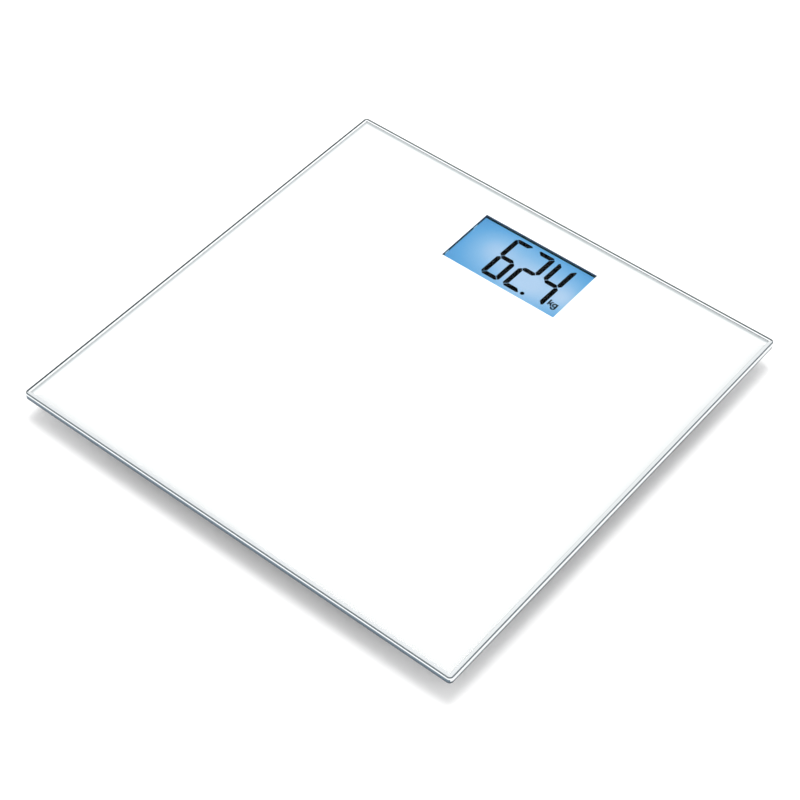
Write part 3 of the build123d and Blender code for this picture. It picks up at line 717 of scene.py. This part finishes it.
def make_lamp():
    paint = Paint("lamp_phosphor")
    grain = paint.noise(2500.0, 3.0)
    colour = paint.mix(grain, (0.82, 0.74, 0.36), (0.92, 0.88, 0.66))
    return paint.done(paint.surface(
        Base_Color=colour, Roughness=0.3 + grain * 0.1,
        Emission_Color=(0.55, 0.75, 1.0), Emission_Strength=0.4,
    ))

finish(make_epoxy(), "controller_chip")
finish(make_chips(), "chip_parts")
finish(make_lamp(), "backlight_leds")

# %% [markdown]
# A bright film lies under the light guide. The strain gauges are amber films with a fine copper zigzag,
# which the same repeating lanes as the board's draw, this time aslant. Tape and glue are fibrous, so their
# noise is drawn out along Y.

# %% Film, gauges and tape
FOIL_PITCH = 0.42 * MM


def make_film():
    paint = Paint("white_reflector_film")
    sheen = paint.noise(1.0, 3.0, 0.5, paint.stretched(40.0, 900.0, 40.0))
    colour = paint.mix(sheen, (0.80, 0.81, 0.82), (0.90, 0.91, 0.92))
    return paint.done(paint.surface(Base_Color=colour, Roughness=0.22 + sheen * 0.2))


def make_gauge():
    paint = Paint("foil_gauge")
    x, y, _ = paint.axes()
    grid = ((x + y) / FOIL_PITCH).wrap(1.0).abs().band(0.5, 0.22, 0.08)
    film = paint.mix(paint.noise(800.0, 2.0), (0.48, 0.22, 0.05), (0.60, 0.30, 0.08))
    colour = paint.mix(grid, film, (0.78, 0.45, 0.30))
    relief = paint.bump(grid, 0.01 * MM, 0.7)
    gloss = 0.35 - grid * 0.1
    return paint.done(paint.surface(Base_Color=colour, Metallic=grid * 0.9, Roughness=gloss, Normal=relief))


def make_tape():
    paint = Paint("double_sided_tape")
    fibre = paint.noise(1.0, 6.0, 0.7, paint.stretched(1800.0, 500.0, 500.0))
    colour = paint.mix(fibre, (0.70, 0.68, 0.62), (0.84, 0.83, 0.78))
    relief = paint.bump(fibre, 0.05 * MM, 0.7)
    return paint.done(paint.surface(Base_Color=colour, Roughness=0.6 + fibre * 0.2, Normal=relief))

finish(make_film(), "backlight_reflector")
finish(make_gauge(), "strain_gauges")
finish(make_tape(), "housing_tape", *for_feet("foot_glue"))

# %% [markdown]
# ## Wires and rubber
# Three loose strands run side by side from each foot to the housing. Each strand could have its own
# material, but they lie straight, so one for each foot paints all three by asking how far across the bundle
# a point lies.

# %% Wire material
BUNDLE = 2.4 * MM
BUNDLE_MIDDLE, FRONT_STOP = 1.1 * MM, 0.5 * MM


def make_wires(name, foot, towards):
    """Red, white and black strands side by side along one straight way."""
    paint = Paint(name)
    x, y, _ = paint.axes()
    along = (towards - foot).normalized()
    across = (y - foot.y) * along.x - (x - foot.x) * along.y
    lane = across / BUNDLE + 0.5
    colour = paint.ramp(lane, [
        (0.00, (0.50, 0.020, 0.015)),
        (0.25, (0.72, 0.70, 0.66)),
        (0.75, (0.012, 0.012, 0.014)),
    ], "CONSTANT")
    scuff = paint.noise(700.0, 4.0)
    relief = paint.bump(scuff, 0.02 * MM, 0.5)
    return paint.done(paint.surface(Base_Color=colour, Roughness=0.36 + scuff * 0.2, Normal=relief))


def wire_way(foot):
    """The middle of a foot and the far end of its wires, on the floor plan."""
    low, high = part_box(f"foot_pad_{foot}")
    start = ((low + high) / 2).xy
    wire_low, wire_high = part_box(f"sensor_cable_{foot}")
    far_x = wire_high.x if start.x < 0 else wire_low.x
    if "rear" in foot:
        return start, Vector((far_x, start.y))
    side = 1 if start.x > 0 else -1
    return start, Vector((far_x + side * BUNDLE_MIDDLE, wire_high.y - FRONT_STOP))

for foot in FEET:
    finish(make_wires(f"wire_strands_{foot}", *wire_way(foot)), f"sensor_cable_{foot}")

# %% [markdown]
# Each foot ends in a soft sole, and the display's contact strip is rubber too. Rubber hardly shines, so its
# specular is low and its roughness high, and a cloud of noise lays a little dust on it.

# %% Rubber material
def make_rubber(name, colour, dust):
    paint = Paint(name)
    pores = paint.noise(1800.0, 4.0, 0.6)
    cloud = paint.noise(90.0, 4.0, 0.6)
    tone = paint.mix(cloud.step(0.4, 0.8) * 0.6, colour, dust)
    relief = paint.bump(pores, 0.03 * MM, 0.7)
    return paint.done(paint.surface(
        Base_Color=tone, Roughness=0.68 + pores * 0.2, Specular_IOR_Level=0.35, Normal=relief
    ))

finish(make_rubber("grey_contact_rubber", (0.10, 0.10, 0.105), (0.16, 0.16, 0.16)), "lcd_contact_strip")
sole_rubber = make_rubber("sole_rubber", (0.50, 0.50, 0.49), (0.62, 0.61, 0.59))

# %% [markdown]
# ## The soles
# The frame's soles have square-cut grooves and a faceted rim. A real one is moulded, with a rolled rim and
# rounded grooves that grip the tiles. A bump could round the grooves, but it would not show at a low angle.
# A profile turned around the foot's axis makes the whole disc, with a rim that stays round close up.

# %% Turning a profile
def turned(mesh, middle, profile, steps):
    """Adds a solid of revolution; the profile runs from the axis, round the rim, back to the axis."""
    turns = [2 * math.pi * i / steps for i in range(steps)]
    rings = []
    for radius, z in profile:
        places = [(middle.x, middle.y, z)]
        if radius > 0:
            places = [(middle.x + radius * math.cos(a), middle.y + radius * math.sin(a), z) for a in turns]
        rings.append([mesh.verts.new(place) for place in places])
    for lower, upper in zip(rings, rings[1:]):
        for i in range(steps):
            j = (i + 1) % steps
            under = [lower[i % len(lower)], lower[j % len(lower)]]
            above = [upper[j % len(upper)], upper[i % len(upper)]]
            mesh.faces.new(list(dict.fromkeys(under + above)))

sole_low, sole_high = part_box("foot_pad_front_left")
print("sole", round((sole_high.x - sole_low.x) / MM, 1), "mm across")

# %% Turn the soles
GROOVE_RINGS = (5.2 * MM, 9.0 * MM, 12.8 * MM, 16.6 * MM)
GROOVE_HALF, GROOVE_DEPTH, GROOVE_STEPS = 0.45 * MM, 0.40 * MM, 8
ROLL, ROLL_STEPS = 0.55 * MM, 6
TOP_CHAMFER = 0.15 * MM
SOLE_STEPS = 128


def sole_profile(low, high, radius):
    """Underside with rounded grooves, a rolled rim, and a flat top."""
    points = [(0, low)]
    for middle in GROOVE_RINGS:
        for t in range(GROOVE_STEPS + 1):
            a = math.pi * t / GROOVE_STEPS
            points.append((middle - GROOVE_HALF * math.cos(a), low + GROOVE_DEPTH * math.sin(a)))
    for t in range(ROLL_STEPS + 1):
        a = math.pi / 2 * t / ROLL_STEPS
        points.append((radius - ROLL + ROLL * math.sin(a), low + ROLL - ROLL * math.cos(a)))
    return points + [(radius, high - TOP_CHAMFER), (radius - TOP_CHAMFER, high), (0, high)]


def make_sole(foot):
    low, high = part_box(f"foot_pad_{foot}")
    middle = (low + high) / 2
    mesh = bmesh.new()
    turned(mesh, middle, sole_profile(low.z, high.z, (high.x - low.x) / 2), SOLE_STEPS)
    bmesh.ops.recalc_face_normals(mesh, faces=mesh.faces)
    sole = as_piece(f"sole_{foot}", mesh, sole_rubber, f"foot_{foot}", 50.0)
    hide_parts(f"foot_pad_{foot}")
    return sole

soles = [make_sole(foot) for foot in FEET]
print("soles:", len(soles), "with", len(soles[0].data.polygons), "faces each")

# %% [markdown]
# ## Studio
# A white floor, a bright even dome and one soft box overhead. More lamps would throw more shadows, and the
# dome alone gives nearly all the light. It is a little darker near the horizon. The grey lines on the
# polished edge of the glass are painted shade in its rim colour. The floor under the glass stays in the
# shade of the plate.

# %% Floor
FLOOR_GAP, FLOOR_HALF = 0.03 * MM, 40.0


def make_floor():
    """White above, and open from below, so that the underside can be looked at."""
    paint = Paint("studio_floor")
    cloud = paint.noise(2.0, 2.0)
    colour = paint.mix(cloud * 0.05, (0.97, 0.97, 0.97), (0.95, 0.95, 0.95))
    white = paint.surface(Base_Color=colour, Roughness=0.9, Specular_IOR_Level=0.0)
    behind = paint.node("ShaderNodeNewGeometry", {}, {}, out="Backfacing")
    open_air = paint.node("ShaderNodeBsdfTransparent", {}, {})
    return paint.done(paint.node("ShaderNodeMixShader", {}, {0: behind, 1: white, 2: open_air}))


def build_floor():
    mesh = bmesh.new()
    bmesh.ops.create_grid(mesh, x_segments=8, y_segments=8, size=FLOOR_HALF)
    data = bpy.data.meshes.new("floor")
    mesh.to_mesh(data)
    mesh.free()
    data.materials.append(make_floor())
    floor = bpy.data.objects.new("floor", data)
    floor.location.z = -FLOOR_GAP
    bpy.context.scene.collection.objects.link(floor)

build_floor()
print("floor laid", round(FLOOR_GAP / MM, 2), "mm under the soles")

# %% Dome
FULL_BRIGHT_AT = 0.45


def build_dome(bright, horizon):
    """A sky that grows from a grey horizon to full white part of the way up."""
    world = bpy.data.worlds.new("studio_dome")
    bpy.context.scene.world = world
    world.use_nodes = True
    tree = world.node_tree
    tree.nodes.clear()
    place = tree.nodes.new("ShaderNodeTexCoord")
    split = tree.nodes.new("ShaderNodeSeparateXYZ")
    ramp = tree.nodes.new("ShaderNodeValToRGB")
    low, high = ramp.color_ramp.elements
    low.position, high.position = 0.0, FULL_BRIGHT_AT
    low.color = (horizon, horizon, horizon * 1.02, 1.0)
    high.color = (1.0, 1.0, 1.0, 1.0)
    back = tree.nodes.new("ShaderNodeBackground")
    back.inputs["Strength"].default_value = bright
    out = tree.nodes.new("ShaderNodeOutputWorld")
    tree.links.new(place.outputs["Generated"], split.inputs[0])
    tree.links.new(split.outputs["Z"], ramp.inputs[0])
    tree.links.new(ramp.outputs[0], back.inputs["Color"])
    tree.links.new(back.outputs[0], out.inputs["Surface"])

build_dome(bright=0.95, horizon=0.55)
print("dome set")

# %% Soft box
def soft_box(name, place, aim, width, power):
    """A square lamp that looks from its place at its aim."""
    lamp = bpy.data.lights.new(name, "AREA")
    lamp.shape, lamp.size, lamp.size_y, lamp.energy = "RECTANGLE", width, width, power
    box = bpy.data.objects.new(name, lamp)
    box.location = place
    box.rotation_euler = (Vector(aim) - Vector(place)).to_track_quat("-Z", "Y").to_euler()
    bpy.context.scene.collection.objects.link(box)

soft_box("top_box", place=(-0.3, 0.45, 1.6), aim=(0, 0, 0), width=0.9, power=14.0)
print("soft box hung")

# %% [markdown]
# ## Camera
# The view looks down on the scale from the front right, a little under 50 degrees above the floor. A short
# lens would make the far edge look much smaller, so a long one is used, from farther away. The slight
# sideways shift frames the plate without turning the camera.

# %% Camera
VIEW_TURN, VIEW_RISE = math.radians(39.716), math.radians(48.429)
VIEW_DISTANCE = 1.18925
VIEW_MIDDLE = Vector((-0.009215, -0.040837, glass_top))
LENS_LENGTH, SENSOR, SIDE_SHIFT = 96.705, 36.0, 0.0694

back = Vector((
    math.sin(VIEW_TURN) * math.cos(VIEW_RISE),
    -math.cos(VIEW_TURN) * math.cos(VIEW_RISE),
    math.sin(VIEW_RISE),
))
lens = bpy.data.cameras.new("camera")
lens.sensor_width, lens.lens, lens.shift_x = SENSOR, LENS_LENGTH, SIDE_SHIFT
camera = bpy.data.objects.new("camera", lens)
camera.location = VIEW_MIDDLE + back * VIEW_DISTANCE
camera.rotation_euler = back.to_track_quat("Z", "Y").to_euler()
bpy.context.scene.collection.objects.link(camera)
bpy.context.scene.camera = camera
bpy.context.scene.view_settings.view_transform = "Standard"
print("lens", round(lens.lens, 1), "mm")

# %% [markdown]
# The last cell only prints a closing line. Nothing here may make the scale larger than it is.

# %% Finish
print("done")
